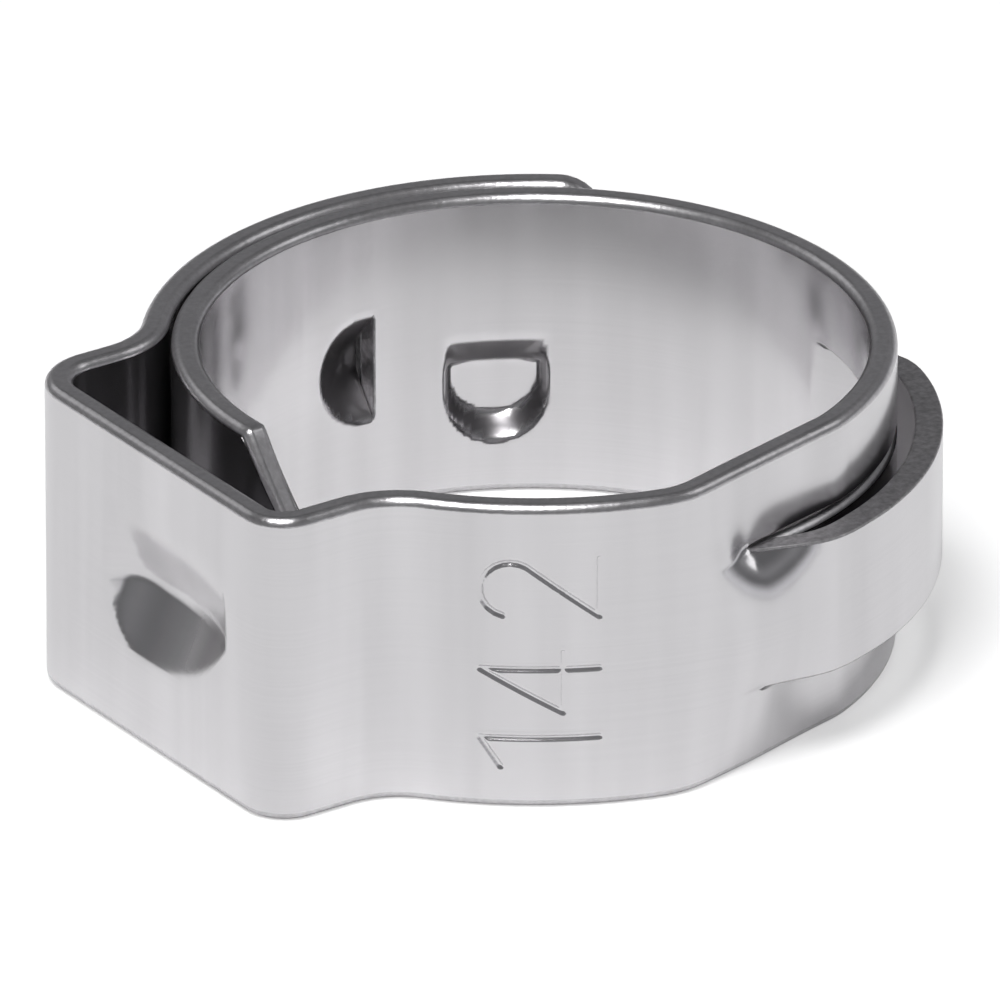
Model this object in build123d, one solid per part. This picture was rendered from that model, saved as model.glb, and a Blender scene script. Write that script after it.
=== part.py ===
"""Stepless ear hose clamp: one stainless strip wound about one and two thirds turns.

Millimetres. The bore's axis is Z, the strip's lower edge lies on Z = 0 and the ear points along +X.
Angles are degrees from the ear's middle, anticlockwise seen from above. From its inner end the strip runs:
tongue, inner turn under the ear, two hooks, side strips and channel, front wall, ear, windows, outer end.
"""

import os
from math import acos, atan2, cos, degrees, radians, sin, sqrt

from build123d import *

# Strip
band_width = 7.0
band_thickness = 0.6
edge_bevel = 0.08
bore_radius = 7.1

# Room left outside the inner turn
hook_turn_gap = 0.08
front_gap = 0.2
channel_gap = 0.38
ear_gap = 1.63

# Ear, with the dimple a wheel has pressed into its crest
ear_inside_width = 8.4
ear_inside_corner = 0.4
ear_root_radius = 1.75
dimple_length = 4.0
dimple_height = 2.9
dimple_depth = 0.7
dimple_offset = 0.4

# Side strips: each leaves the front wall by a bend and runs flat down to the inner turn
flat_middle = 104.5
flat_sink = 0.08
flat_front_bend = 2.0
flat_back_bend = 3.0

# Channel between the side strips
slit_start = 88.0
channel_start = 72.0
channel_start_bend = 6.0
channel_end = 178.0
channel_end_slope = 29.0
channel_end_bend = 1.0

# Tongue, which slides in the channel, and the shoulders it starts from
tongue_width = 3.0
tongue_side_gap = 0.08
tongue_end = 150.0
tongue_corner = 0.5
shoulder_start = 3.0
shoulder_length = 1.5

# Hooks pressed outward from the inner turn: half round, their straight sides given by place and length
guide_hook_angle = -117.6
guide_hook_height = 3.6
guide_hook_straight = 2.35
guide_hook_reach = 2.45
guide_floor_straight = 1.9
guide_floor_reach = 1.2
guide_floor_setback = 0.85
guide_hook_depth = 0.55
pull_hook_angle = -95.3
pull_hook_height = 3.35
pull_hook_straight = 2.5
pull_hook_reach = 1.5
pull_floor_straight = 1.1
pull_floor_reach = 0.65
pull_hook_depth = 0.75
hook_draw_in = 0.2

# Outer end of the strip and its windows over the hooks
outer_end = -135.0
outer_corner = 1.0
window_gap = 0.1
window_corner = 0.4

# Outside faces, by their distance from the bore's axis
inner_outside = bore_radius + band_thickness
hook_turn_outside = inner_outside + hook_turn_gap + band_thickness
front_outside = inner_outside + front_gap + band_thickness
channel_outside = inner_outside + channel_gap + band_thickness
flat_outside = inner_outside - flat_sink
crest_outside = inner_outside + ear_gap + band_thickness

middle = band_width / 2
channel_low = middle - tongue_width / 2 - tongue_side_gap
channel_high = middle + tongue_width / 2 + tongue_side_gap
join_angle = channel_end + 6.0
hook_wall = band_thickness / 2
far = 3 * crest_outside


def polar(radius, angle):
    return Vector(radius * cos(radians(angle)), radius * sin(radians(angle)))


def turned(length, radius):
    """Angle a length along the strip takes at a radius."""
    return degrees(length / radius)


def sector(start, end):
    first = Line((0, 0), polar(far, start))
    rim = CenterArc((0, 0), far, start, end - start)
    last = Line(polar(far, end), (0, 0))
    return make_face([first, rim, last])


def half_plane(angle, distance):
    """Everything nearer than the distance in the direction of the angle."""
    return Rot(0, 0, angle) * Pos(distance - far, 0) * Rectangle(2 * far, 4 * far)


def nearest(items, point):
    return items.sort_by(lambda item: (item.center() - point).length)[0]


def round_corner(outline, point, radius):
    return fillet(nearest(outline.vertices(), point), radius)


# Outlines seen from above. An inset draws one in all round, so the strip lies between insets of nothing
# and one thickness.


def ear_outline(inset):
    """Front wall, ear and hook turn."""
    front = front_outside - inset
    hook_turn = hook_turn_outside - inset
    reach = crest_outside - inset
    half = ear_inside_width / 2 + band_thickness - inset
    corner = ear_inside_corner + band_thickness - inset
    outline = (Circle(front) & sector(0, 180)) + (Circle(hook_turn) & sector(180, 360))
    outline = outline + Pos(reach / 2, 0) * Rectangle(reach, 2 * half)
    for side, radius in ((1, front), (-1, hook_turn)):
        root = Vector(sqrt(radius**2 - half**2), side * half)
        outline = round_corner(outline, root, ear_root_radius + inset)
        outline = round_corner(outline, Vector(reach, side * half), corner)
    return outline


def flat_outline(inset):
    """Side strips: front wall, flat and inner turn."""
    front = front_outside - inset
    inner = inner_outside - inset
    flat = flat_outside - inset
    outline = Circle(inner) + (Circle(front) & sector(0, flat_middle))
    outline = outline & half_plane(flat_middle, flat)
    front_corner = polar(front, flat_middle - degrees(acos(flat / front)))
    back_corner = polar(inner, flat_middle + degrees(acos(flat / inner)))
    outline = round_corner(outline, front_corner, flat_front_bend - inset)
    return round_corner(outline, back_corner, flat_back_bend - inset)


def channel_outline(inset):
    """Channel: off the front wall by its tangent, round, and in to the inner turn."""
    channel = channel_outside - inset
    inner = inner_outside - inset
    tangent = front_outside - inset
    step_direction = channel_end + channel_end_slope
    step = inner_outside * cos(radians(channel_end_slope)) - inset
    outline = Circle(channel) & half_plane(channel_start, tangent) & half_plane(step_direction, step)
    outline = outline + Circle(inner)
    start_corner = polar(channel, channel_start + degrees(acos(tangent / channel)))
    rim_corner = polar(channel, step_direction - degrees(acos(step / channel)))
    foot_corner = polar(inner, step_direction - degrees(acos(step / inner)))
    outline = round_corner(outline, start_corner, channel_start_bend - inset)
    outline = round_corner(outline, rim_corner, channel_end_bend - inset)
    return round_corner(outline, foot_corner, channel_end_bend + inset)


def inner_outline(inset):
    """Inner turn and tongue."""
    return Circle(inner_outside - inset)


def strip(outline, start, end, low, high):
    """Length of strip that follows an outline between two angles, standing between two heights."""
    section = (outline(0) - outline(band_thickness)) & sector(start, end)
    return extrude(Pos(0, 0, low) * section, high - low)


def radial_plane(angle, radius, height):
    """Plane that faces outward: its x runs anticlockwise round the bore and its y runs up."""
    origin = polar(radius, angle) + Vector(0, 0, height)
    return Plane(origin=origin, x_dir=polar(1, angle + 90), z_dir=polar(1, angle))


def behind(plane):
    """Everything on the inner side of a plane."""
    return plane * Pos(0, 0, -far) * Box(4 * far, 4 * far, 2 * far)


def leaning_strip():
    """Upper part of the front wall before the slit, which leans in from the channel to the side strip."""
    slit_corner = polar(channel_outside, slit_start)
    across = polar(1, flat_middle)
    lean = atan2(slit_corner.dot(across) - flat_outside, band_width - channel_high)
    outward = across * cos(lean) + Vector(0, 0, sin(lean))
    top_edge = across * flat_outside + Vector(0, 0, band_width)
    span = sector(channel_start, slit_start)
    bodies = []
    for inset in (0, band_thickness):
        section = Pos(0, 0, channel_high) * (channel_outline(inset) & span)
        body = extrude(section, band_width - channel_high)
        face = Plane(origin=top_edge - outward * inset, x_dir=polar(1, flat_middle + 90), z_dir=outward)
        bodies.append(body & behind(face))
    return bodies[0] - bodies[1]


def outer_turn():
    turn = strip(ear_outline, outer_end, channel_start, 0, band_width)
    turn += strip(channel_outline, channel_start, join_angle, channel_low, channel_high)
    turn += strip(flat_outline, slit_start, join_angle, 0, channel_low)
    turn += strip(flat_outline, slit_start, join_angle, channel_high, band_width)
    lean = leaning_strip()
    turn += lean
    turn += Pos(0, 0, band_width) * mirror(lean, about=Plane.XY)
    return turn


def inner_turn():
    shoulder_end = shoulder_start + turned(shoulder_length, inner_outside)
    tongue_low = middle - tongue_width / 2
    tongue_high = middle + tongue_width / 2
    turn = strip(inner_outline, join_angle - 360, shoulder_end, 0, band_width)
    turn += strip(inner_outline, 0, tongue_end, tongue_low, tongue_high)
    for side in (1, -1):
        edge = side * middle
        root = side * tongue_width / 2
        corners = [(0, edge), (shoulder_length, root), (2 * shoulder_length, root)]
        waste = Polyline(*corners, (2 * shoulder_length, 2 * edge), (0, 2 * edge), close=True)
        plane = radial_plane(shoulder_start, 0, middle)
        turn -= extrude(plane * make_face(waste), far)
    return turn


def half_round(straight, reach, setback, growth):
    """Half-round face below its straight side, which lies the setback below the origin."""
    half = straight / 2 + growth
    top = growth - setback
    bend = top - (reach + 2 * growth) + half
    sides = Polyline((-half, bend), (-half, top), (half, top), (half, bend))
    foot = ThreePointArc((half, bend), (0, bend - half), (-half, bend))
    return make_face([sides, foot])


def guide_form(growth, shift):
    """Pressing whose straight side is uppermost, drawn from the strip's face to the hook's floor."""
    lead = hook_draw_in / guide_hook_depth
    rim = half_round(
        guide_hook_straight + (guide_hook_straight - guide_floor_straight) * lead,
        guide_hook_reach + (guide_hook_reach - guide_floor_reach) * lead,
        -guide_floor_setback * lead,
        growth,
    )
    floor = half_round(guide_floor_straight, guide_floor_reach, guide_floor_setback, growth)
    rim_plane = radial_plane(guide_hook_angle, bore_radius + shift - hook_draw_in, guide_hook_height)
    floor_plane = radial_plane(guide_hook_angle, bore_radius + shift + guide_hook_depth, guide_hook_height)
    return loft([rim_plane * rim, floor_plane * floor], ruled=True)


def pull_form(growth, shift):
    """Pressing sheared along its straight side, which faces away from the ear."""
    lead = hook_draw_in / pull_hook_depth
    rim = half_round(
        pull_hook_straight + (pull_hook_straight - pull_floor_straight) * lead,
        pull_hook_reach + (pull_hook_reach - pull_floor_reach) * lead,
        0,
        growth,
    )
    floor = half_round(pull_floor_straight, pull_floor_reach, 0, growth)
    rim_plane = radial_plane(pull_hook_angle, bore_radius + shift - hook_draw_in, pull_hook_height)
    floor_plane = radial_plane(pull_hook_angle, bore_radius + shift + pull_hook_depth, pull_hook_height)
    form = loft([rim_plane * Rot(0, 0, 90) * rim, floor_plane * Rot(0, 0, 90) * floor], ruled=True)
    ear_side = radial_plane(pull_hook_angle, 0, 0) * Pos(far, 0, 0) * Box(2 * far, 4 * far, 4 * far)
    return form & ear_side


def press_hooks(turn):
    for form in (guide_form, pull_form):
        turn = turn + form(hook_wall, band_thickness) - form(0, 0)
    return turn


def cut_windows(turn):
    growth = hook_wall + window_gap
    guide_wide = guide_hook_straight + 2 * growth
    guide_high = guide_hook_reach + 2 * growth
    guide_middle = guide_hook_height + growth - guide_high / 2
    guide = RectangleRounded(guide_wide, guide_high, window_corner)
    turn -= extrude(radial_plane(guide_hook_angle, 0, guide_middle) * guide, far)
    pull_wide = pull_hook_reach + growth + window_gap
    pull_high = pull_hook_straight + 2 * growth
    pull = Pos(pull_wide / 2 - window_gap, 0) * RectangleRounded(pull_wide, pull_high, window_corner)
    turn -= extrude(radial_plane(pull_hook_angle, 0, pull_hook_height) * pull, far)
    return turn


def dimple_wheel(growth):
    """Wheel with a sharp rim, as deep in the crest as the dimple, drawn out all round."""
    slope = atan2(dimple_height / 2, dimple_depth)
    wheel_radius = (dimple_length**2 / 4 + dimple_depth**2) / (2 * dimple_depth)
    rim = wheel_radius + growth / sin(slope)
    half_height = rim * sin(slope) / cos(slope)
    profile = make_face(Polyline((0, -half_height), (rim, 0), (0, half_height), close=True))
    wheel = revolve(Plane.XZ * profile, Axis.Z)
    return Pos(crest_outside - dimple_depth + wheel_radius, dimple_offset, middle) * wheel


def press_dimple(turn):
    crest_middle = Plane(origin=(crest_outside - band_thickness / 2, 0, 0), z_dir=(1, 0, 0))
    bulge = dimple_wheel(band_thickness) & behind(crest_middle)
    return turn + bulge - dimple_wheel(0)


def round_end(turn, angle, side, width, corner, beneath):
    """Round the corners where the strip ends, leaving what lies beneath a radius as it is.

    The side is 1 for an end that faces anticlockwise and -1 for one that faces clockwise.
    """
    end = Pos(-2 * side * corner, 0) * RectangleRounded(4 * corner, width, 0.99 * corner)
    waste = extrude(radial_plane(angle, 0, middle) * (Rectangle(2 * corner, 2 * width) - end), far)
    return turn - (waste - Cylinder(beneath, 4 * band_width))


def bevel_rims(band):
    """Bevel the long edges of both rims, all but those of the leaning strips."""
    lean_start = flat_middle - degrees(acos(flat_outside / front_outside))
    rims = ShapeList()
    for height in (0, band_width):
        rims += band.edges().filter_by_position(Axis.Z, height, height)
    long_edges = ShapeList()
    for edge in rims:
        place = edge @ 0.5
        angle = degrees(atan2(place.Y, place.X))
        across = abs(polar(1, angle).dot(edge % 0.5)) > 0.95
        leaning = lean_start < angle < slit_start
        if not across and not leaning:
            long_edges.append(edge)
    return chamfer(long_edges, edge_bevel)


outer = press_dimple(cut_windows(outer_turn()))
inner = press_hooks(inner_turn())
inner = round_end(inner, tongue_end, 1, tongue_width, tongue_corner, bore_radius / 2)
clamp_band = bevel_rims(outer + inner)
between_turns = inner_outside + hook_turn_gap / 2
clamp_band = round_end(clamp_band, outer_end, -1, band_width, outer_corner, between_turns)

os.makedirs("parts", exist_ok=True)
export_step(clamp_band, "parts/clamp_band.step")
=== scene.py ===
import bpy
from math import acos, asin, atan2, ceil, cos, degrees, exp, hypot, inf, pi, radians, sin, sqrt, tan
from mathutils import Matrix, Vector


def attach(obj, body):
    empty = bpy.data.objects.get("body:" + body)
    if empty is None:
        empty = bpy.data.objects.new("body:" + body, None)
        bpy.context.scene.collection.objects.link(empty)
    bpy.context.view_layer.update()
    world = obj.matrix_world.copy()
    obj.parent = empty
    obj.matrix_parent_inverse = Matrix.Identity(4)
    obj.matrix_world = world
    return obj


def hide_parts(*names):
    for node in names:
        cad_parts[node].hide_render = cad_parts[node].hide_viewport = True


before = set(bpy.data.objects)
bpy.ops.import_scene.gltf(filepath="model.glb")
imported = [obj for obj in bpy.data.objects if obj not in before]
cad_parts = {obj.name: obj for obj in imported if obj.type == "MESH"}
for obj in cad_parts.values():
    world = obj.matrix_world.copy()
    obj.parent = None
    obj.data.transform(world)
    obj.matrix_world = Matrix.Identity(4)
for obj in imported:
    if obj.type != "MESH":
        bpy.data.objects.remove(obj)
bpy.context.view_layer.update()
mm = 0.001
tiny = 1e-6

# the strip, in millimetres; stations run along its middle from the tongue's tip to the outer end

strip = {
    "width": 7.0,
    "thickness": 0.6,
    "boreRadius": 7.1,
    "hookTurnGap": 0.08,
    "frontGap": 0.2,
    "channelGap": 0.38,
    "earGap": 1.63,
    "earInside": 8.4,
    "earCorner": 0.7,  # bend radii here are those of the strip's middle
    "hookCorner": 1.15,
    "earRoot": 2.05,
    "tongueTip": 150.0,  # angles round the bore, from the ear's middle, in degrees
    "tongueWidth": 3.0,
    "tongueCorner": 0.5,
    "shoulderAngle": 3.0,
    "shoulderLength": 1.5,
    "outerEnd": -135.0,
    "outerCorner": 1.0,
    "flatMiddle": 104.5,
    "flatSink": 0.08,
    "flatFrontBend": 1.7,
    "flatBackBend": 2.7,
    "rimRadius": 0.2,  # rounding of the rolled edges
    "cutRadius": 0.05,  # rounding of the sheared edges
}

half = strip["thickness"] / 2
innerLine = strip["boreRadius"] + half
hookLine = innerLine + 2 * half + strip["hookTurnGap"]
frontLine = innerLine + 2 * half + strip["frontGap"]
channelLine = innerLine + 2 * half + strip["channelGap"]
flatLine = innerLine - strip["flatSink"]
crestLine = innerLine + 2 * half + strip["earGap"]
legLine = strip["earInside"] / 2 + half


def stripRuns():
    # each run is (name, length, turn in degrees); a turn to the right is negative
    s = strip
    back = degrees(acos((flatLine - s["flatBackBend"]) / (innerLine - s["flatBackBend"])))
    front = degrees(acos((flatLine - s["flatFrontBend"]) / (frontLine - s["flatFrontBend"])))
    flat = (innerLine - s["flatBackBend"]) * sin(radians(back))
    flat += (frontLine - s["flatFrontBend"]) * sin(radians(front))
    innerTurn = 360 + s["tongueTip"] - (s["flatMiddle"] + back)
    rootY = legLine + s["earRoot"]
    frontRoot = degrees(asin(rootY / (frontLine + s["earRoot"])))
    hookRoot = degrees(asin(rootY / (hookLine + s["earRoot"])))
    frontLeg = crestLine - s["earCorner"] - (frontLine + s["earRoot"]) * cos(radians(frontRoot))
    hookLeg = crestLine - s["hookCorner"] - (hookLine + s["earRoot"]) * cos(radians(hookRoot))
    frontWall = s["flatMiddle"] - front - frontRoot
    hookTurn = -s["outerEnd"] - hookRoot

    def bend(radius, angle):
        return radius * radians(abs(angle)), angle

    return [
        ("innerTurn", *bend(innerLine, -innerTurn)),
        ("backBend", *bend(s["flatBackBend"], -back)),
        ("flat", flat, 0),
        ("frontBend", *bend(s["flatFrontBend"], -front)),
        ("frontWall", *bend(frontLine, -frontWall)),
        ("frontRoot", *bend(s["earRoot"], 90 - frontRoot)),
        ("frontLeg", frontLeg, 0),
        ("frontCorner", *bend(s["earCorner"], -90)),
        ("crest", 2 * legLine - s["earCorner"] - s["hookCorner"], 0),
        ("hookCorner", *bend(s["hookCorner"], -90)),
        ("hookLeg", hookLeg, 0),
        ("hookRoot", *bend(s["earRoot"], 90 - hookRoot)),
        ("hookTurn", *bend(hookLine, -hookTurn)),
    ]


runs = stripRuns()
runStart = {}
total = 0.0
for name, length, turn in runs:
    runStart[name] = total
    total += length
stripLength = total


def pathPoint(station):
    # the middle of the strip seen from above
    angle = radians(strip["tongueTip"])
    place = Vector((innerLine * cos(angle), innerLine * sin(angle)))
    heading = angle - pi / 2
    left = station
    for name, length, turn in runs:
        part = min(left, length)
        if turn:
            radius = length / radians(turn)
            centre = place + radius * Vector((-sin(heading), cos(heading)))
            heading += part / radius
            place = centre - radius * Vector((-sin(heading), cos(heading)))
        else:
            place = place + part * Vector((cos(heading), sin(heading)))
        left -= part
        if left <= 0:
            break
    return place, heading


def innerStation(angle):
    # station on the inner turn, where the strip runs clockwise
    return radians(strip["tongueTip"] - angle) * innerLine


def flatStation(angle):
    # station on the flat of the side strips
    back = degrees(acos((flatLine - strip["flatBackBend"]) / (innerLine - strip["flatBackBend"])))
    lead = (innerLine - strip["flatBackBend"]) * sin(radians(back))
    return runStart["flat"] + lead + flatLine * tan(radians(strip["flatMiddle"] - angle))


outerEnd = pathPoint(stripLength)[0]
outerAngle = degrees(atan2(outerEnd.y, outerEnd.x))
print("strip is", round(stripLength, 3), "mm long and ends at", round(outerAngle, 3), "degrees")

# what is cut and pressed into the flat blank

channel = {
    "width": 3.16,
    "start": 72.0,  # angles round the bore, in degrees
    "slitStart": 89.5,
    "end": 178.0,
    "endSlope": 29.0,
    "endMargin": 2.0,
    "softened": 40.0,  # how far from each end its line is softened
    "firstStation": 30.0,  # past the strip's first lap, whose tongue lies inside the channel
    "upperDrawn": 1.0,  # share of the rise by which the channel's edge is drawn in at each slit's root
    "lowerDrawn": 0.33,
    "drawnReach": 2.2,  # how far the draw reaches along the channel, then across it
    "drawnDepth": 0.42,
    "drawnAhead": 0.9,  # and into the front wall, and how much further beside the channel
    "drawnAside": 0.7,
    "flank": 1.6,  # power of the rise's profile across the strip ahead of the slits
    "freed": 1.8,  # length over which the channel's floor becomes flat
    "startSoftness": 0.02,
    "endSoftness": 0.35,
    "endReach": 0.8,
    "fade": 1.5,  # power by which the draw and the far end fade
    "sideReach": 2.4,  # length over which the side strips leave the slit's root
    "kerf": 0.03,
    "kerfTaper": 0.3,
}
guideHook = {
    "angle": -117.6,
    "height": 3.7,
    "straight": 2.35,
    "reach": 2.45,
    "floorStraight": 1.9,
    "floorReach": 1.2,
    "setback": 0.85,
    "depth": 0.55,
    "zone": 2.0,  # stations this far from it can be part of it
}
pullHook = {
    "angle": -95.3,
    "height": 3.35,
    "straight": 2.5,
    "reach": 1.5,
    "floorStraight": 0.7,
    "floorReach": 0.3,
    "setback": 0.0,
    "depth": 0.75,
    "zone": 2.0,
}
window = {
    "gap": 0.4,
    "corner": 0.4,
    "sideGap": 0.05,
    "fade": 1.2,  # how fast the shift onto a corner's arc fades away from it, and how far it spreads
    "spread": 2.0,
}
dimple = {
    "start": -1.4,
    "length": 4.5,
    "peak": 1.4,
    "valley": 3.55,
    "under": 1.56,
    "over": 2.1,
    "depth": 0.72,
    "shortBlunt": 2.8,  # powers that shape its two ends
    "longBlunt": 2.6,
    "longFade": 0.8,
    "overFade": 1.2,
    "borderSoftness": 0.02,
    "zone": 3.0,
}

middle = strip["width"] / 2
slitLow = middle - channel["width"] / 2
slitHigh = middle + channel["width"] / 2
slitFrom = innerStation(channel["end"] - 360)
slitTo = flatStation(channel["slitStart"])
guideStation = innerStation(guideHook["angle"])
pullStation = innerStation(pullHook["angle"])
crestStation = runStart["crest"] + legLine - strip["earCorner"]  # over the middle of the ear
shoulderTo = innerStation(strip["shoulderAngle"])
shoulderFrom = shoulderTo - strip["shoulderLength"]


def smooth(x):
    x = min(max(x, 0.0), 1.0)
    return x * x * (3 - 2 * x)


def softRamp(x, rounding=0.08):
    # straight ramp from 0 to 1 with both ends rounded off
    x = min(max(x, 0.0), 1.0)
    if x < rounding:
        return x * x / (2 * rounding * (1 - rounding))
    if x > 1 - rounding:
        return 1 - (1 - x) ** 2 / (2 * rounding * (1 - rounding))
    return (x - rounding / 2) / (1 - rounding)


def insideHalfRound(x, y, straight, reach, openTop):
    # depth inside a half-round shape that hangs from its straight side at y = 0
    radius = straight / 2
    bend = radius - reach
    deep = radius - abs(x) if y > bend else radius - hypot(x, y - bend)
    return deep if openTop else min(deep, -y)


def outsideHalfRound(x, y, straight, reach):
    radius = straight / 2
    bend = radius - reach
    if y < bend:
        return max(hypot(x, y - bend) - radius, 0.0)
    return hypot(max(abs(x) - radius, 0.0), max(y, 0.0))


def pressing(hook, x, y, openTop):
    # outward depth of a hook, where y falls away from its straight side
    if openTop and y > tiny:
        return 0.0
    inside = insideHalfRound(x, y, hook["straight"], hook["reach"], openTop)
    if inside <= 0:
        return 0.0
    outside = outsideHalfRound(x, y + hook["setback"], hook["floorStraight"], hook["floorReach"])
    return hook["depth"] * softRamp(inside / (inside + outside))


def eased(depth):
    # rounds the border of a mark into the face round it
    soft = dimple["borderSoftness"]
    return (depth + sqrt(depth**2 + soft**2)) / 2 - soft / 2 if depth > -10 * soft else 0.0


def dimpleDepth(station, height):
    # a half-round mark: a steep lower side under a straight valley, and a long gentle side above it
    d = dimple
    along = crestStation - station - d["start"] - d["peak"]
    reach = d["peak"] if along < 0 else d["length"] - d["peak"]
    if not -d["peak"] < along < d["length"] - d["peak"]:
        return 0.0
    if along < 0:
        size = sqrt(1 - (abs(along) / reach) ** d["shortBlunt"])
    else:
        size = (1 - (along / reach) ** d["longBlunt"]) ** d["longFade"]
    down = d["valley"] - height
    if down > 0:
        return eased(d["depth"] * (size - down / d["under"]))
    up = -down / d["over"]
    fade = (1 - up) ** 2 * (1 + d["overFade"] * up)
    return eased(d["depth"] * size) * fade if up < 1 else 0.0


def channelRise(station):
    # how far the channel's middle stands outside the side strips' middle
    c = channel
    place = pathPoint(station)[0]
    angle = degrees(atan2(place.y, place.x)) % 360
    if not c["start"] < angle < c["end"] + c["endMargin"]:
        return 0.0
    line = channelLine
    if angle < c["start"] + c["softened"]:
        tangent = frontLine / cos(radians(angle - c["start"]))
        line = softMin(line, tangent, c["startSoftness"])
    if angle > c["end"] - c["softened"]:
        foot = (innerLine + half) * cos(radians(c["endSlope"])) - half
        slope = foot / cos(radians(c["end"] + c["endSlope"] - angle))
        line = softMin(line, slope, c["endSoftness"])
    return max(line - place.length, 0.0)


def softMin(a, b, softness):
    return (a + b - sqrt((a - b) ** 2 + softness * softness)) / 2


def lift(station, height, inChannel):
    # outward shift of the strip's middle from the side strips' line
    c = channel
    off = abs(height - middle) - c["width"] / 2
    share = 1 - max(off, 0) / (middle - c["width"] / 2)
    ruled = 1 - min(abs(height - middle) / middle, 1) ** c["flank"]
    ruledEdge = 1 - (c["width"] / 2 / middle) ** c["flank"]
    drawn = c["upperDrawn" if height > middle else "lowerDrawn"]
    rise = channelRise(station)
    past = slitTo - station
    if past <= 0:
        near = drawn * exp(-((past / (c["drawnAhead"] + c["drawnAside"] * smooth(off))) ** 2))
        return rise * (ruled - near * (ruled if off > 0 else ruledEdge * exp(off / c["drawnDepth"])))
    if station <= slitFrom:
        return rise * share
    rootRise = channelRise(slitTo)
    if inChannel or off <= 0:
        freed = smooth(past / c["freed"])
        near = drawn * max(1 - past / c["drawnReach"], 0) ** c["fade"]
        dip = rootRise * ruledEdge * near * exp(min(off, 0) / c["drawnDepth"])
        return rise * (ruled + (1 - ruled) * freed) - dip
    root = rootRise * ruled * (1 - drawn)
    left = past / c["sideReach"]
    fade = (1 - left) ** 2 * (1 + 2 * left) if left < 1 else 0.0
    far = exp(-(((station - slitFrom) / c["endReach"]) ** c["fade"]))
    return root * fade + share * channelRise(slitFrom) * far


def halfWidth(station):
    # half the blank's width at a station
    s = strip
    tongue = s["tongueWidth"] / 2
    if station < s["tongueCorner"]:
        x = 1 - station / s["tongueCorner"]
        return tongue - s["tongueCorner"] * (1 - sqrt(max(1 - x * x, 0)))
    if station < shoulderTo:
        grow = (station - shoulderFrom) / s["shoulderLength"]
        return tongue + (middle - tongue) * softRamp(grow)
    left = stripLength - station
    if left < s["outerCorner"]:
        x = 1 - left / s["outerCorner"]
        return middle - s["outerCorner"] * (1 - sqrt(max(1 - x * x, 0)))
    return middle


def divided(keys, spacing, slack=0.2):
    # values from the first key to the last that hit every key
    keys = sorted(set(round(k, 6) for k in keys))
    out = [keys[0]]
    for a, b in zip(keys, keys[1:]):
        count = max(1, ceil((b - a) / spacing((a + b) / 2) - slack))
        out += [a + (b - a) * (i + 1) / count for i in range(count)]
    return out


# a plain number engraved in single strokes on the front wall

stamp = {
    "middleAngle": 56.5,
    "tall": 2.43,
    "halfWidth": 0.066,
    "depth": 0.045,
    "lip": 0.012,
    "lipAt": 1.6,  # in half widths
    "lipWidth": 0.5,
    "margin": 0.3,
    "fineAlong": 8,  # how many times a cell under the number is divided
    "fineAcross": 4,
    "fineMargin": 0.25,
    "fineRows": (0.75, 6.0),
}


def arc(x, y, radius, start, end, count=12):
    steps = [radians(start + (end - start) * k / count) for k in range(count + 1)]
    return [(x + radius * cos(a), y + radius * sin(a)) for a in steps]


def stampStrokes():
    # strokes as points (height on the band, height in the figure)
    tall = stamp["tall"]
    one = [(0.98, tall - 0.42), (1.64, tall), (1.64, 0)]
    four = [(3.24, 0), (3.24, tall), (2.24, 0.74), (3.62, 0.74)]
    two = arc(5.09, tall - 0.62, 0.62, 165, -32) + [(4.44, 0), (5.76, 0)]
    return [one, four, two]


def nearSegment(x, y, a, b):
    dx, dy = b[0] - a[0], b[1] - a[1]
    t = ((x - a[0]) * dx + (y - a[1]) * dy) / (dx * dx + dy * dy)
    t = min(max(t, 0), 1)
    return hypot(x - a[0] - t * dx, y - a[1] - t * dy)


frontRootAngle = degrees(asin((legLine + strip["earRoot"]) / (frontLine + strip["earRoot"])))
frontMiddle = runStart["frontRoot"] - radians(stamp["middleAngle"] - frontRootAngle) * frontLine
stampFrom = frontMiddle - stamp["tall"] / 2
strokes = stampStrokes()


def engraving(station, height):
    # outward shift in a stroke and beside it: a round groove with a small lip
    x, y = height, station - stampFrom
    margin = stamp["margin"]
    away = inf
    for stroke in strokes:
        if min(p[0] for p in stroke) - margin < x < max(p[0] for p in stroke) + margin:
            away = min(away, min(nearSegment(x, y, a, b) for a, b in zip(stroke, stroke[1:])))
    wide = stamp["halfWidth"]
    groove = stamp["depth"] * max(1 - (away / wide) ** 2, 0)
    lip = stamp["lip"] * exp(-(((away - stamp["lipAt"] * wide) / (stamp["lipWidth"] * wide)) ** 2))
    return lip - groove


# windows as (from station, to station, low, high)
guideWide = guideHook["straight"] + 2 * window["gap"]
guideHigh = guideHook["reach"] + 2 * window["gap"]
guideTop = guideHook["height"] + window["gap"]


def hookTurnStation(angle):
    return stripLength - radians(angle - strip["outerEnd"]) * hookLine


guideAt = hookTurnStation(guideHook["angle"])
pullAt = hookTurnStation(pullHook["angle"])
windows = [
    (guideAt - guideWide / 2, guideAt + guideWide / 2, guideTop - guideHigh, guideTop),
    (
        pullAt - pullHook["reach"] - window["gap"],
        pullAt + window["sideGap"],
        pullHook["height"] - pullHook["straight"] / 2 - window["gap"],
        pullHook["height"] + pullHook["straight"] / 2 + window["gap"],
    ),
]
for w in windows:
    print("window at", [round(v, 3) for v in w])


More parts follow.
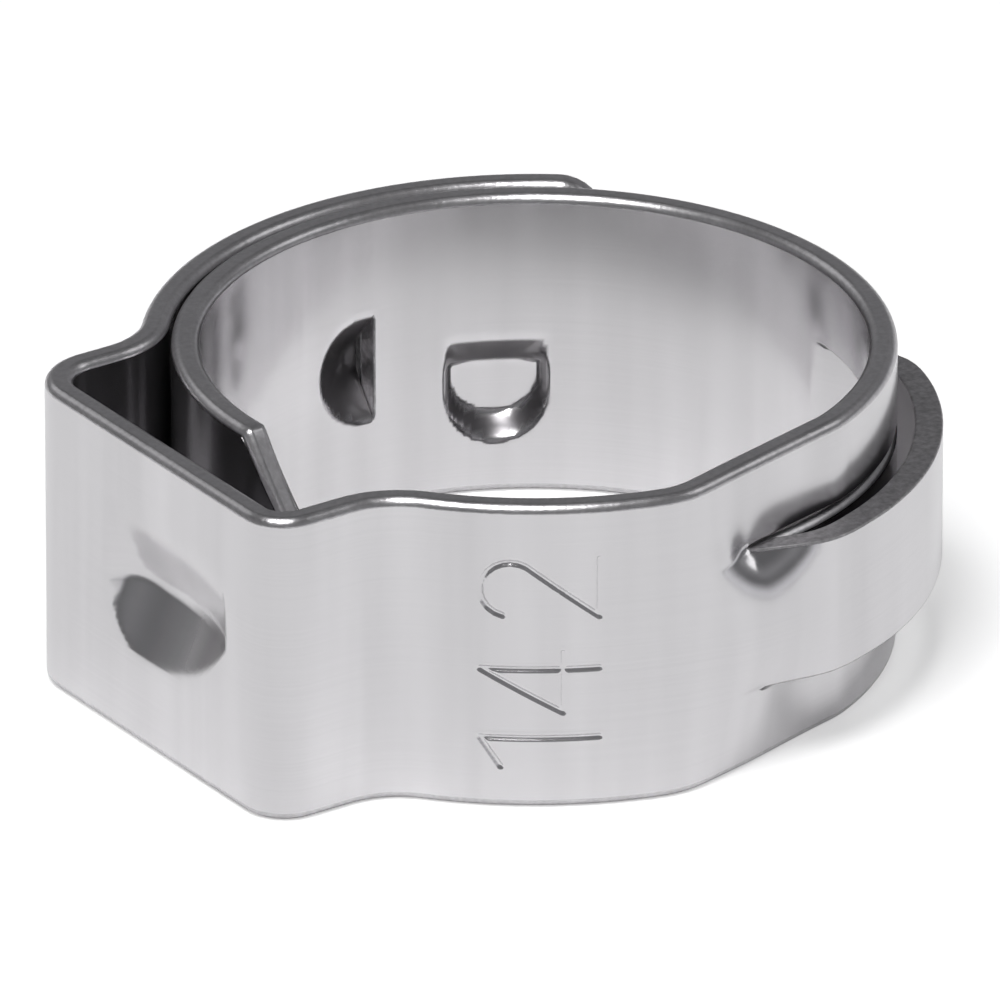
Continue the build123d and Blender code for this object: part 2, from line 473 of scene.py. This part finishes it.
# how closely the blank is divided, and how far each closer zone reaches
grid = {
    "hookSpacing": 0.085,
    "guideReach": 1.7,
    "pullReach": 2.0,
    "pullAhead": 0.3,
    "markSpacing": 0.12,
    "rootReach": 2.6,
    "crestReach": 3.3,
    "bendSpacing": 0.11,
    "tightBend": 3.0,  # bends with a smaller radius are divided closely
    "windowSpacing": 0.14,
    "margin": 0.1,
    "spacing": 0.25,
    "middleRows": (0.8, 5.9),
    "middleRowSpacing": 0.13,
    "rowSpacing": 0.2,
    "rim": 0.3,  # the outermost row is wider than the rounding of the edge
}


def stationSpacing(s):
    g = grid
    if abs(s - guideStation) < g["guideReach"] or -g["pullReach"] < s - pullStation < g["pullAhead"]:
        return g["hookSpacing"]
    if abs(s - slitTo) < g["rootReach"] or abs(s - crestStation) < g["crestReach"]:
        return g["markSpacing"]
    for name, length, turn in runs:
        inRun = runStart[name] - g["margin"] <= s <= runStart[name] + length + g["margin"]
        if inRun and turn and length / radians(abs(turn)) < g["tightBend"]:
            return g["bendSpacing"]
    if any(a - g["margin"] < s < b + g["margin"] for a, b, low, high in windows):
        return g["windowSpacing"]
    return g["spacing"]


def rowSpacing(z):
    low, high = grid["middleRows"]
    if low < z < high:
        return grid["middleRowSpacing"]
    return grid["rowSpacing"] if grid["rim"] < z < strip["width"] - grid["rim"] else grid["rim"]


def cornerArc(radius, count):
    # distances from an end of the strip that follow its round corner; the rim needs no closer ones
    return [radius * (1 - cos(radians(90 * i / count))) for i in range(2, count + 1)]


tipArc = cornerArc(strip["tongueCorner"], 6)
endArc = [stripLength - x for x in cornerArc(strip["outerCorner"], 8)]
shoulderSteps = 12
stationKeys = [0.0, stripLength, slitFrom, slitTo, pullStation, shoulderTo, shoulderFrom]
stationKeys += tipArc + endArc + list(runStart.values())
stationKeys += [s for w in windows for s in w[:2]]
for i in range(1, shoulderSteps):
    stationKeys.append(shoulderTo - strip["shoulderLength"] * i / shoulderSteps)
stationKeys += [guideStation - grid["guideReach"], guideStation + grid["guideReach"]]
stationKeys += [pullStation - grid["pullReach"]]
stationKeys += [slitTo - grid["rootReach"], slitTo + grid["rootReach"]]
stationKeys += [crestStation - grid["crestReach"], crestStation + grid["crestReach"]]
stations = divided(stationKeys, stationSpacing)

pullLow = pullHook["height"] - pullHook["straight"] / 2
pullHigh = pullHook["height"] + pullHook["straight"] / 2
rowKeys = [0, grid["rim"], middle, strip["width"] - grid["rim"], strip["width"]]
rowKeys += [slitLow, slitHigh, pullLow, pullHigh]
rowKeys += [z for w in windows for z in w[2:]]
rows = divided(rowKeys, rowSpacing)
print("blank", len(stations), "stations by", len(rows), "rows")


def nearestIndex(values, value):
    return min(range(len(values)), key=lambda i: abs(values[i] - value))


slitI = nearestIndex(stations, slitFrom), nearestIndex(stations, slitTo)
slitJ = nearestIndex(rows, slitLow), nearestIndex(rows, slitHigh)
pullI = nearestIndex(stations, pullStation)
pullJ = nearestIndex(rows, pullLow), nearestIndex(rows, pullHigh)
windowCells = []
for a, b, low, high in windows:
    lowRow, highRow = nearestIndex(rows, low), nearestIndex(rows, high)
    windowCells.append((nearestIndex(stations, a), nearestIndex(stations, b), lowRow, highRow))


def corner(i, j, cellI, cellJ):
    # key of a cell's corner: the two sides of a cut have points of their own
    side = ""
    for row in slitJ:
        if j == row and slitI[0] < i < slitI[1]:
            side = "above" if cellJ >= row else "below"
    if i == pullI and pullJ[0] < j < pullJ[1]:
        side = "hook" if cellI < pullI else "band"
    return i, j, side


def isFine(i, j):
    # cells under the number, which are divided further
    if not (0 <= i < len(stations) - 1 and 0 <= j < len(rows) - 1):
        return False
    before, after = stampFrom - stamp["fineMargin"], stampFrom + stamp["tall"] + stamp["fineMargin"]
    low, high = stamp["fineRows"]
    return stations[i + 1] > before and stations[i] < after and rows[j + 1] > low and rows[j] < high


def roundedWindow(station, height):
    # moves a window's edge points near its corners onto their arcs
    r = window["corner"]
    for a, b, low, high in windows:
        if not (a - r <= station <= b + r and low - r <= height <= high + r):
            continue
        for cornerS, inS in ((a, a + r), (b, b - r)):
            for cornerZ, inZ in ((low, low + r), (high, high - r)):
                ds = (station - inS) / (cornerS - inS)
                dz = (height - inZ) / (cornerZ - inZ)
                reach = max(ds, dz)
                if ds > 0 and dz > 0 and reach < window["spread"]:
                    now = hypot(ds, dz)
                    blend = max(0.0, 1 - abs(reach - 1) * window["fade"])
                    scale = 1 + (reach / now - 1) * blend
                    return inS + (station - inS) * scale, inZ + (height - inZ) * scale
    return station, height


def blankCells():
    cells = []
    for i in range(len(stations) - 1):
        for j in range(len(rows) - 1):
            if any(a <= i < b and low <= j < high for a, b, low, high in windowCells):
                continue
            square = ((i, j), (i + 1, j), (i + 1, j + 1), (i, j + 1))
            cells.append([corner(x, y, i, j) for x, y in square])
    return cells


def flatPlace(key):
    i, j, side = key
    station = stations[i]
    height = middle + (rows[j] - middle) * halfWidth(station) / middle
    if side in ("above", "below"):
        opening = min(min(station - slitFrom, slitTo - station) / channel["kerfTaper"], 1)
        height += channel["kerf"] * opening * (1 if side == "above" else -1)
    return roundedWindow(station, height)


def outwardShift(key, place):
    i, j, side = key
    station, height = place
    shift = 0.0
    if abs(station - guideStation) < guideHook["zone"]:
        shift += pressing(guideHook, station - guideStation, height - guideHook["height"], False)
    if pullStation - pullHook["zone"] < station <= pullStation + tiny and side != "band":
        shift += pressing(pullHook, height - pullHook["height"], station - pullStation, True)
    if abs(station - crestStation) < dimple["zone"]:
        shift -= dimpleDepth(station, height)
    if channel["firstStation"] < station < runStart["frontRoot"]:
        inChannel = slitLow < rows[j] < slitHigh
        if j == slitJ[0]:
            inChannel = side != "below"
        if j == slitJ[1]:
            inChannel = side != "above"
        shift += lift(station, height, inChannel)
    return shift


# painted shade: how dark the metal is painted in its sheltered places, standing in for the shade and dark
# reflections there, and where each begins and ends
paintedShade = {
    "channel": 1.0,
    "channelLead": 1.0,
    "pocket": 0.8,
    "pocketRim": 0.04,
    "pocketFloor": 0.92,  # share of the hook's depth above which its floor is bright
    "earMark": 0.85,
    "markFrom": 0.2,  # shares of the mark's longer side
    "markOver": 0.5,
    "markTo": 1.2,
    "markRim": 0.01,
    "markDeep": 0.1,
}


def paintedShadeAt(station, depth, height, inside):
    # painted shade: dark inside the channel, on the walls of the drawn pockets, and at one end of the ear's
    # mark, where shade and dark reflections fall
    d = paintedShade
    if inside and slitFrom + d["channelLead"] < station < slitTo and slitLow < height < slitHigh:
        return d["channel"]
    if inside and station < slitFrom:
        isGuide = abs(station - guideStation) < guideHook["zone"]
        bright = d["pocketFloor"] * guideHook["depth"] - half if isGuide else inf
        return d["pocket"] if d["pocketRim"] - half < depth < bright else 0.0
    end = (crestStation - station - dimple["start"] - dimple["peak"]) / (dimple["length"] - dimple["peak"])
    if not inside and 0 < end < d["markTo"] and height < dimple["valley"]:
        along = smooth((end - d["markFrom"]) / d["markOver"])
        return d["earMark"] * along * smooth((half - depth - d["markRim"]) / d["markDeep"])
    return 0.0


def borderEdges(rings):
    # edges that only one cell uses
    used = dict.fromkeys(edge for ring in rings for edge in zip(ring, ring[1:] + ring[:1]))
    return [(a, b) for a, b in used if (b, a) not in used]


def borderDirections(border, places):
    # unit directions that point out of the blank at the points of its border
    least = 0.3  # a shorter sum means that two borders meet head on and has no direction
    sums = {}
    for a, b in border:
        ds = places[b][0] - places[a][0]
        dz = places[b][1] - places[a][1]
        length = hypot(ds, dz) or 1
        for n in (a, b):
            x, z = sums.get(n, (0.0, 0.0))
            sums[n] = (x + dz / length, z - ds / length)
    directions = {}
    for n, (x, z) in sums.items():
        size = hypot(x, z)
        directions[n] = (x / size, z / size) if size > least else (0.0, 0.0)
    return directions


def isRolled(key):
    # true on the strip's long edges, which are rolled smooth; the others are sheared
    return key[1] in (0, len(rows) - 1)


def edgeRadius(key):
    return strip["rimRadius"] if isRolled(key) else strip["cutRadius"]


def edgeWear(key):
    return 0.5 if isRolled(key) else 1.0


def addPoint(sheet, station, depth, height, edge, inside=False):
    sheet["points"].append((station * mm, depth * mm, height * mm))
    sheet["cutEdge"].append(edge)
    # painted shade: each point keeps how dark it is painted in the channel, the pockets and the ear's mark
    sheet["shelter"].append(paintedShadeAt(station, depth, height, inside))
    sheet["flat"].append((station, height))
    return len(sheet["points"]) - 1


def addLayers(sheet, keys, places, shifts, directions):
    # points of the outer and the inner face, drawn back from the border by its rounding
    layers = {1: {}, -1: {}}
    for n, (station, height) in enumerate(places):
        x, z = directions.get(n, (0.0, 0.0))
        radius = edgeRadius(keys[n]) if n in directions else 0
        for face in (1, -1):
            depth = shifts[n] + face * half
            point = addPoint(sheet, station - radius * x, depth, height - radius * z, 0.0, face == -1)
            layers[face][n] = point
        if abs(station - frontMiddle) < stamp["tall"] / 2 + stamp["margin"] and n not in directions:
            x, y, z = sheet["points"][layers[1][n]]
            sheet["points"][layers[1][n]] = (x, y + engraving(station, height) * mm, z)
    return layers


def addFaces(sheet, cells, index, layers):
    # both faces of the sheet; the outer one is divided further under the number
    wide, high = stamp["fineAlong"], stamp["fineAcross"]
    sides = {(0, -1): (1, 0), (1, 0): (0, 1), (0, 1): (-1, 0), (-1, 0): (0, -1)}
    finePoints = {}

    def finePoint(x, y):
        i, j = x // wide, y // high
        if x % wide == 0 and y % high == 0:
            return layers[1][index[(i, j, "")]]
        if (x, y) not in finePoints:
            station, height = stations[i], rows[j]
            if x % wide:
                station += (stations[i + 1] - station) * (x % wide) / wide
            if y % high:
                height += (rows[j + 1] - height) * (y % high) / high
            finePoints[(x, y)] = addPoint(sheet, station, half + engraving(station, height), height, 0.0)
        return finePoints[(x, y)]

    def outerFaces(cell):
        i, j = cell[0][:2]
        if isFine(i, j):
            for x in range(i * wide, (i + 1) * wide):
                for y in range(j * high, (j + 1) * high):
                    yield [finePoint(x, y), finePoint(x, y + 1), finePoint(x + 1, y + 1), finePoint(x + 1, y)]
            return
        ring = []
        for key, (side, step) in zip(cell, sides.items()):
            ring.append(layers[1][index[key]])
            if isFine(i + side[0], j + side[1]):
                for k in range(1, wide if step[0] else high):
                    ring.append(finePoint(key[0] * wide + step[0] * k, key[1] * high + step[1] * k))
        yield ring[::-1]

    for cell in cells:
        sheet["faces"].extend(outerFaces(cell))
        sheet["faces"].append([layers[-1][index[key]] for key in cell])


def addEdges(sheet, border, keys, places, shifts, directions, layers):
    # rounded edges all round the blank, from the outer face to the inner one
    turns = (7, 22, 45, 68, 83, 90)  # degrees round a quarter, closer where it meets a face
    profiles = {}
    for n, (x, z) in directions.items():
        radius = edgeRadius(keys[n])
        station, height = places[n]
        profile = [layers[1][n]]
        for face in (1, -1):
            for turn in turns[::face]:
                out = radius * (sin(radians(turn)) - 1)
                deep = face * (half - radius + radius * cos(radians(turn)))
                spot = station + out * x, shifts[n] + deep, height + out * z
                profile.append(addPoint(sheet, *spot, edgeWear(keys[n])))
        profile.append(layers[-1][n])
        profiles[n] = profile
    for a, b in border:
        for k in range(2 * len(turns) + 1):
            sheet["faces"].append([profiles[a][k], profiles[b][k], profiles[b][k + 1], profiles[a][k + 1]])


def cutBlank():
    # the flat blank as a closed sheet: x along the strip, y through it, z across it
    cells = blankCells()
    keys = list(dict.fromkeys(key for cell in cells for key in cell))
    index = {key: n for n, key in enumerate(keys)}
    places = [flatPlace(key) for key in keys]
    shifts = [outwardShift(key, place) for key, place in zip(keys, places)]
    border = borderEdges([[index[key] for key in cell] for cell in cells])
    directions = borderDirections(border, places)
    for n, (x, z) in directions.items():
        if isRolled(keys[n]):
            station, height = places[n]
            shifts[n] = outwardShift(keys[n], (station, height - strip["rimRadius"] * z))
    sheet = {"points": [], "cutEdge": [], "shelter": [], "flat": [], "faces": []}
    layers = addLayers(sheet, keys, places, shifts, directions)
    addFaces(sheet, cells, index, layers)
    addEdges(sheet, border, keys, places, shifts, directions, layers)
    return sheet


sheet = cutBlank()
print("blank has", len(sheet["points"]), "points and", len(sheet["faces"]), "faces")

blankMesh = bpy.data.meshes.new("clampBlank")
blankMesh.from_pydata(sheet["points"], [], sheet["faces"])
blankMesh.update()
# cutEdge marks the edges; the second attribute carries the painted shade
for name in ("cutEdge", "shelter"):
    blankMesh.attributes.new(name, "FLOAT", "POINT").data.foreach_set("value", sheet[name])
mapUnit = 10  # millimetres
flatMap = blankMesh.uv_layers.new(name="flat")
for loop in blankMesh.loops:
    station, height = sheet["flat"][loop.vertex_index]
    flatMap.data[loop.index].uv = (station / mapUnit, height / mapUnit)
blank = bpy.data.objects.new("clampBlank", blankMesh)
bpy.context.scene.collection.objects.link(blank)

# the path that the blank is rolled along

pathStep = 0.04
pathCount = ceil(stripLength / pathStep)
pathCurve = bpy.data.curves.new("stripPath", "CURVE")
pathCurve.dimensions = "3D"
spline = pathCurve.splines.new("POLY")
spline.points.add(pathCount)
for n in range(pathCount + 1):
    place, heading = pathPoint(stripLength * n / pathCount)
    spline.points[n].co = (place.x * mm, place.y * mm, 0, 1)
path = bpy.data.objects.new("stripPath", pathCurve)
bpy.context.scene.collection.objects.link(path)


def rollTree():
    # bends a flat blank round a path: x becomes the length along it, y the depth outward, z stays up
    tree = bpy.data.node_groups.new("rollStrip", "GeometryNodeTree")
    inputs = {"Blank": "Geometry", "Path": "Object", "Lead": "Float", "Base height": "Float"}
    inputs["Finish"] = "Material"
    for name, kind in inputs.items():
        tree.interface.new_socket(name, in_out="INPUT", socket_type="NodeSocket" + kind)
    tree.interface.new_socket("Strip", in_out="OUTPUT", socket_type="NodeSocketGeometry")
    nodes, links = tree.nodes, tree.links
    given = nodes.new("NodeGroupInput")
    out = nodes.new("NodeGroupOutput")
    pathInfo = nodes.new("GeometryNodeObjectInfo")
    sample = nodes.new("GeometryNodeSampleCurve")
    sample.mode = "LENGTH"
    sample.use_all_curves = False
    place = nodes.new("GeometryNodeInputPosition")
    apart = nodes.new("ShaderNodeSeparateXYZ")
    along = nodes.new("ShaderNodeMath")
    along.operation = "ADD"
    outward = nodes.new("ShaderNodeVectorMath")
    outward.operation = "CROSS_PRODUCT"
    outward.inputs[0].default_value = (0, 0, 1)
    unit = nodes.new("ShaderNodeVectorMath")
    unit.operation = "NORMALIZE"
    deep = nodes.new("ShaderNodeVectorMath")
    deep.operation = "SCALE"
    raised = nodes.new("ShaderNodeMath")
    raised.operation = "ADD"
    up = nodes.new("ShaderNodeCombineXYZ")
    first = nodes.new("ShaderNodeVectorMath")
    second = nodes.new("ShaderNodeVectorMath")
    setPlace = nodes.new("GeometryNodeSetPosition")
    realize = nodes.new("GeometryNodeRealizeInstances")
    finish = nodes.new("GeometryNodeSetMaterial")
    links.new(given.outputs["Path"], pathInfo.inputs["Object"])
    links.new(pathInfo.outputs["Geometry"], sample.inputs["Curves"])
    links.new(place.outputs[0], apart.inputs[0])
    links.new(apart.outputs["X"], along.inputs[0])
    links.new(given.outputs["Lead"], along.inputs[1])
    links.new(along.outputs[0], sample.inputs["Length"])
    links.new(sample.outputs["Tangent"], outward.inputs[1])
    links.new(outward.outputs[0], unit.inputs[0])
    links.new(unit.outputs[0], deep.inputs[0])
    links.new(apart.outputs["Y"], deep.inputs["Scale"])
    links.new(apart.outputs["Z"], raised.inputs[0])
    links.new(given.outputs["Base height"], raised.inputs[1])
    links.new(raised.outputs[0], up.inputs["Z"])
    links.new(sample.outputs["Position"], first.inputs[0])
    links.new(deep.outputs[0], first.inputs[1])
    links.new(first.outputs[0], second.inputs[0])
    links.new(up.outputs[0], second.inputs[1])
    links.new(given.outputs["Blank"], setPlace.inputs["Geometry"])
    links.new(second.outputs[0], setPlace.inputs["Position"])
    links.new(setPlace.outputs[0], realize.inputs[0])
    links.new(realize.outputs[0], finish.inputs["Geometry"])
    links.new(given.outputs["Finish"], finish.inputs["Material"])
    links.new(finish.outputs[0], out.inputs["Strip"])
    return tree


def socketId(tree, name):
    return next(item.identifier for item in tree.interface.items_tree if item.name == name)


# stainless steel

steel = {
    "colour": (0.73, 0.72, 0.735, 1),
    "cutColour": (0.36, 0.35, 0.36, 1),
    # painted shade: the dark tone painted into the channel, the pocket walls and the ear's mark
    "paintedShadeColour": (0.13, 0.12, 0.13, 1),
    "roughness": 0.19,
    "bandTone": 0.28,  # how much the soft bands and the fine lines change the tone
    "lineTone": 0.08,
    "bandRoughness": 0.1,
    "cutRoughness": 0.22,
    "shelteredRoughness": 0.2,
    "paintedShadeShare": 0.9,
    "bands": (9, 0.5),  # noise scales along the strip and across it
    "lines": (1.5, 260),
    "tearScale": 7000,
    "tearGain": 1.6,
    "tearOffset": -0.1,
    "tearStrength": 0.5,
    "tearHeight": 0.00003,
}


def finishGroup():
    # soft bands across the strip, fine rolling lines along it, torn metal on the sheared edges, and painted
    # shade in the channel, the pockets and the ear's mark
    tree = bpy.data.node_groups.new("rolledFinish", "ShaderNodeTree")
    for name, kind in (("Colour", "Color"), ("Roughness", "Float"), ("Normal", "Vector")):
        tree.interface.new_socket(name, in_out="OUTPUT", socket_type="NodeSocket" + kind)
    nodes, links = tree.nodes, tree.links

    def maths(operation, a, b, c=None):
        node = nodes.new("ShaderNodeMath")
        node.operation = operation
        for socket, value in zip(node.inputs, (a, b, c)):
            if isinstance(value, (int, float)):
                socket.default_value = value
            elif value is not None:
                links.new(value, socket)
        return node.outputs[0]

    def noise(vector, scale, detail, roughness=0.5):
        node = nodes.new("ShaderNodeTexNoise")
        node.inputs["Scale"].default_value = scale
        node.inputs["Detail"].default_value = detail
        node.inputs["Roughness"].default_value = roughness
        links.new(vector, node.inputs["Vector"])
        return node.outputs["Fac"]

    def stretched(along, across):
        node = nodes.new("ShaderNodeVectorMath")
        node.operation = "MULTIPLY"
        node.inputs[1].default_value = (along, across, 0)
        links.new(flat.outputs["UV"], node.inputs[0])
        return node.outputs[0]

    def attribute(name):
        node = nodes.new("ShaderNodeAttribute")
        node.attribute_name = name
        return node.outputs["Fac"]

    def mixed(factor, a, b):
        node = nodes.new("ShaderNodeMix")
        node.data_type = "RGBA"
        links.new(factor, node.inputs["Factor"])
        for socket, value in ((node.inputs["A"], a), (node.inputs["B"], b)):
            if isinstance(value, tuple):
                socket.default_value = value
            else:
                links.new(value, socket)
        return node.outputs["Result"]

    flat = nodes.new("ShaderNodeUVMap")
    flat.uv_map = "flat"
    where = nodes.new("ShaderNodeTexCoord").outputs["Object"]
    edge = attribute("cutEdge")
    # painted shade: the mask of the channel, the pocket walls and the ear's mark
    paintedShadeFactor = attribute("shelter")
    bands = noise(stretched(*steel["bands"]), 1.0, 3)
    lines = noise(stretched(*steel["lines"]), 1.0, 4)
    torn = noise(where, steel["tearScale"], 3, 0.6)
    tone = maths("MULTIPLY_ADD", maths("SUBTRACT", bands, 0.5), steel["bandTone"], 1.0)
    tone = maths("MULTIPLY_ADD", maths("SUBTRACT", lines, 0.5), steel["lineTone"], tone)
    toned = nodes.new("ShaderNodeMix")
    toned.data_type = "RGBA"
    toned.blend_type = "MULTIPLY"
    toned.inputs["Factor"].default_value = 1.0
    toned.inputs["A"].default_value = steel["colour"]
    links.new(tone, toned.inputs["B"])
    tearing = maths("MULTIPLY_ADD", torn, steel["tearGain"], steel["tearOffset"])
    tearing = maths("MULTIPLY", edge, tearing)
    tearing = maths("MINIMUM", maths("MAXIMUM", tearing, 0), 1)
    edged = mixed(tearing, toned.outputs["Result"], steel["cutColour"])
    # painted shade: the colour is mixed toward a dark tone by that mask
    colour = mixed(maths("MULTIPLY", paintedShadeFactor, steel["paintedShadeShare"]), edged, steel["paintedShadeColour"])
    rough = maths("SUBTRACT", bands, 0.5)
    rough = maths("MULTIPLY_ADD", rough, steel["bandRoughness"], steel["roughness"])
    rough = maths("MULTIPLY_ADD", edge, steel["cutRoughness"], rough)
    rough = maths("MULTIPLY_ADD", paintedShadeFactor, steel["shelteredRoughness"], rough)
    bump = nodes.new("ShaderNodeBump")
    bump.inputs["Distance"].default_value = steel["tearHeight"]
    links.new(maths("MULTIPLY", edge, steel["tearStrength"]), bump.inputs["Strength"])
    links.new(torn, bump.inputs["Height"])
    out = nodes.new("NodeGroupOutput")
    links.new(colour, out.inputs["Colour"])
    links.new(rough, out.inputs["Roughness"])
    links.new(bump.outputs[0], out.inputs["Normal"])
    return tree


stainless = bpy.data.materials.new("satinStainless")
stainless.use_nodes = True
shader = stainless.node_tree.nodes["Principled BSDF"]
shader.inputs["Metallic"].default_value = 1.0
finish = stainless.node_tree.nodes.new("ShaderNodeGroup")
finish.node_tree = finishGroup()
for output, socket in (("Colour", "Base Color"), ("Roughness", "Roughness"), ("Normal", "Normal")):
    stainless.node_tree.links.new(finish.outputs[output], shader.inputs[socket])
print("steel is mixed")

tree = rollTree()
roll = blank.modifiers.new("roll", "NODES")
roll.node_group = tree
roll[socketId(tree, "Path")] = path
roll[socketId(tree, "Finish")] = stainless
depsgraph = bpy.context.evaluated_depsgraph_get()
bandMesh = bpy.data.meshes.new_from_object(blank.evaluated_get(depsgraph))
bandMesh.name = "rolledBand"
band = bpy.data.objects.new("rolledBand", bandMesh)
bpy.context.scene.collection.objects.link(band)
for old in (blank, path):
    bpy.data.objects.remove(old)
for face in bandMesh.polygons:
    face.use_smooth = True


def broadNormals(mesh):
    # point normals led by the larger faces, so that small rounded borders don't tilt the broad ones
    areaScale = 1e9  # keeps the squares of such small areas well above zero
    sums = [Vector() for point in mesh.vertices]
    for face in mesh.polygons:
        weighted = face.normal * (face.area * areaScale) ** 2
        for n in face.vertices:
            sums[n] += weighted
    return [total.normalized() for total in sums]


bandMesh.normals_split_custom_set_from_vertices(broadNormals(bandMesh))
triangles = sum(len(face.vertices) - 2 for face in bandMesh.polygons)
print("band has", len(bandMesh.vertices), "points and", triangles, "triangles")

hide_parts("clamp_band")
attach(band, "root")

# floor, light and camera

table = {"half": 1.5, "tone": 0.9, "roughness": 0.9, "glow": 0.43, "reflectedGlow": 0.15}

h = table["half"]
floorMesh = bpy.data.meshes.new("floor")
floorMesh.from_pydata([(-h, -h, 0), (h, -h, 0), (h, h, 0), (-h, h, 0)], [], [(0, 1, 2, 3)])
floor = bpy.data.objects.new("floor", floorMesh)
bpy.context.scene.collection.objects.link(floor)
floorPaint = bpy.data.materials.new("floorPaint")
floorPaint.use_nodes = True
floorShader = floorPaint.node_tree.nodes["Principled BSDF"]
floorShader.inputs["Base Color"].default_value = (table["tone"], table["tone"], table["tone"], 1)
floorShader.inputs["Roughness"].default_value = table["roughness"]
floorShader.inputs["Specular IOR Level"].default_value = 0.0
floorShader.inputs["Emission Color"].default_value = (1, 1, 1, 1)
floorRays = floorPaint.node_tree.nodes.new("ShaderNodeLightPath")
floorGlow = floorPaint.node_tree.nodes.new("ShaderNodeMath")
floorGlow.operation = "MULTIPLY_ADD"
floorGlow.inputs[1].default_value = table["glow"]
floorReflected = floorPaint.node_tree.nodes.new("ShaderNodeMath")
floorReflected.operation = "MULTIPLY"
floorReflected.inputs[1].default_value = table["reflectedGlow"]
floorPaint.node_tree.links.new(floorRays.outputs["Is Camera Ray"], floorGlow.inputs[0])
floorPaint.node_tree.links.new(floorRays.outputs["Is Glossy Ray"], floorReflected.inputs[0])
floorPaint.node_tree.links.new(floorReflected.outputs[0], floorGlow.inputs[2])
floorPaint.node_tree.links.new(floorGlow.outputs[0], floorShader.inputs["Emission Strength"])
floorMesh.materials.append(floorPaint)

view = {
    "azimuth": 145.8,
    "elevation": 25.3,
    "distance": 600.0,
    "frameWidth": 21.24,
    "axisX": 34.3,  # how far the bore's axis stands from the frame's middle, in thousandths of its width
    "axisHeight": 3.147,
    "sensor": 36,
    "clipEnd": 10,
}


def aimed(azimuth, elevation):
    a, e = radians(azimuth), radians(elevation)
    return Vector((-sin(a) * cos(e), cos(a) * cos(e), -sin(e)))


look = aimed(view["azimuth"], view["elevation"])
right = Vector((cos(radians(view["azimuth"])), sin(radians(view["azimuth"])), 0))
target = Vector((0, 0, view["axisHeight"])) - right * view["axisX"] * view["frameWidth"] / 1000
cameraData = bpy.data.cameras.new("camera")
cameraData.sensor_width = view["sensor"]
cameraData.lens = view["sensor"] * view["distance"] / view["frameWidth"]
cameraData.clip_end = view["clipEnd"]
camera = bpy.data.objects.new("camera", cameraData)
camera.location = (target - look * view["distance"]) * mm
camera.rotation_euler = look.to_track_quat("-Z", "Y").to_euler()
bpy.context.scene.collection.objects.link(camera)
bpy.context.scene.camera = camera


def softbox(name, azimuth, elevation, distance, width, height, power):
    # azimuth is where the lamp hangs, turned from the camera's left-to-right line
    data = bpy.data.lights.new(name, "AREA")
    data.shape = "RECTANGLE"
    data.size = width
    data.size_y = height
    data.energy = power
    lamp = bpy.data.objects.new(name, data)
    a = radians(view["azimuth"] + azimuth)
    e = radians(elevation)
    place = Vector((cos(a) * cos(e), sin(a) * cos(e), sin(e))) * distance
    lamp.location = place
    lamp.rotation_euler = (-place).to_track_quat("-Z", "Y").to_euler()
    bpy.context.scene.collection.objects.link(lamp)


lamps = {
    "key": {"azimuth": 248, "elevation": 66, "distance": 0.4, "width": 0.17, "height": 0.17, "power": 0.98},
    "side": {"azimuth": 10, "elevation": 42, "distance": 0.4, "width": 0.14, "height": 0.14, "power": 0.07},
    "rear": {"azimuth": 140, "elevation": 34, "distance": 0.4, "width": 0.2, "height": 0.14, "power": 0.05},
}
for name, values in lamps.items():
    softbox(name, **values)
print("lamps and camera are placed")

room = {
    # tones by height, where 0.5 is the horizon and 1 the zenith
    "tones": ((0.49, 0.7), (0.53, 0.4), (0.58, 0.1), (0.7, 0.25), (0.82, 0.12)),
    "blue": 1.03,
    "sideAzimuth": 165,
    "sideShift": 0.06,
}

world = bpy.data.worlds.new("studio")
world.use_nodes = True


def darkRoom(tree):
    # white to the camera, and round the metal a white table under a dark ceiling
    nodes, links = tree.nodes, tree.links
    background = nodes["Background"]
    where = nodes.new("ShaderNodeTexCoord")
    apart = nodes.new("ShaderNodeSeparateXYZ")
    ramp = nodes.new("ShaderNodeValToRGB")
    tones = ramp.color_ramp
    for n, (at, tone) in enumerate(room["tones"]):
        stop = tones.elements.new(at) if n else tones.elements[0]
        stop.position = at
        stop.color = (tone, tone, tone * room["blue"], 1)
    tones.elements.remove(tones.elements[-1])
    halve = nodes.new("ShaderNodeMath")
    halve.operation = "MULTIPLY_ADD"
    halve.inputs[1].default_value = 0.5
    halve.inputs[2].default_value = 0.5
    darkSide = nodes.new("ShaderNodeVectorMath")
    darkSide.operation = "DOT_PRODUCT"
    a = radians(view["azimuth"] + room["sideAzimuth"])
    darkSide.inputs[1].default_value = (room["sideShift"] * cos(a), room["sideShift"] * sin(a), 0)
    sky = nodes.new("ShaderNodeMath")
    sky.operation = "ADD"
    rays = nodes.new("ShaderNodeLightPath")
    mix = nodes.new("ShaderNodeMix")
    mix.data_type = "RGBA"
    mix.inputs["B"].default_value = (1, 1, 1, 1)
    links.new(where.outputs["Generated"], apart.inputs[0])
    links.new(apart.outputs["Z"], halve.inputs[0])
    links.new(where.outputs["Generated"], darkSide.inputs[0])
    links.new(halve.outputs[0], sky.inputs[0])
    links.new(darkSide.outputs["Value"], sky.inputs[1])
    links.new(sky.outputs[0], ramp.inputs[0])
    links.new(rays.outputs["Is Camera Ray"], mix.inputs["Factor"])
    links.new(ramp.outputs["Color"], mix.inputs["A"])
    links.new(mix.outputs["Result"], background.inputs["Color"])


darkRoom(world.node_tree)
bpy.context.scene.world = world
bpy.context.scene.view_settings.view_transform = "Standard"
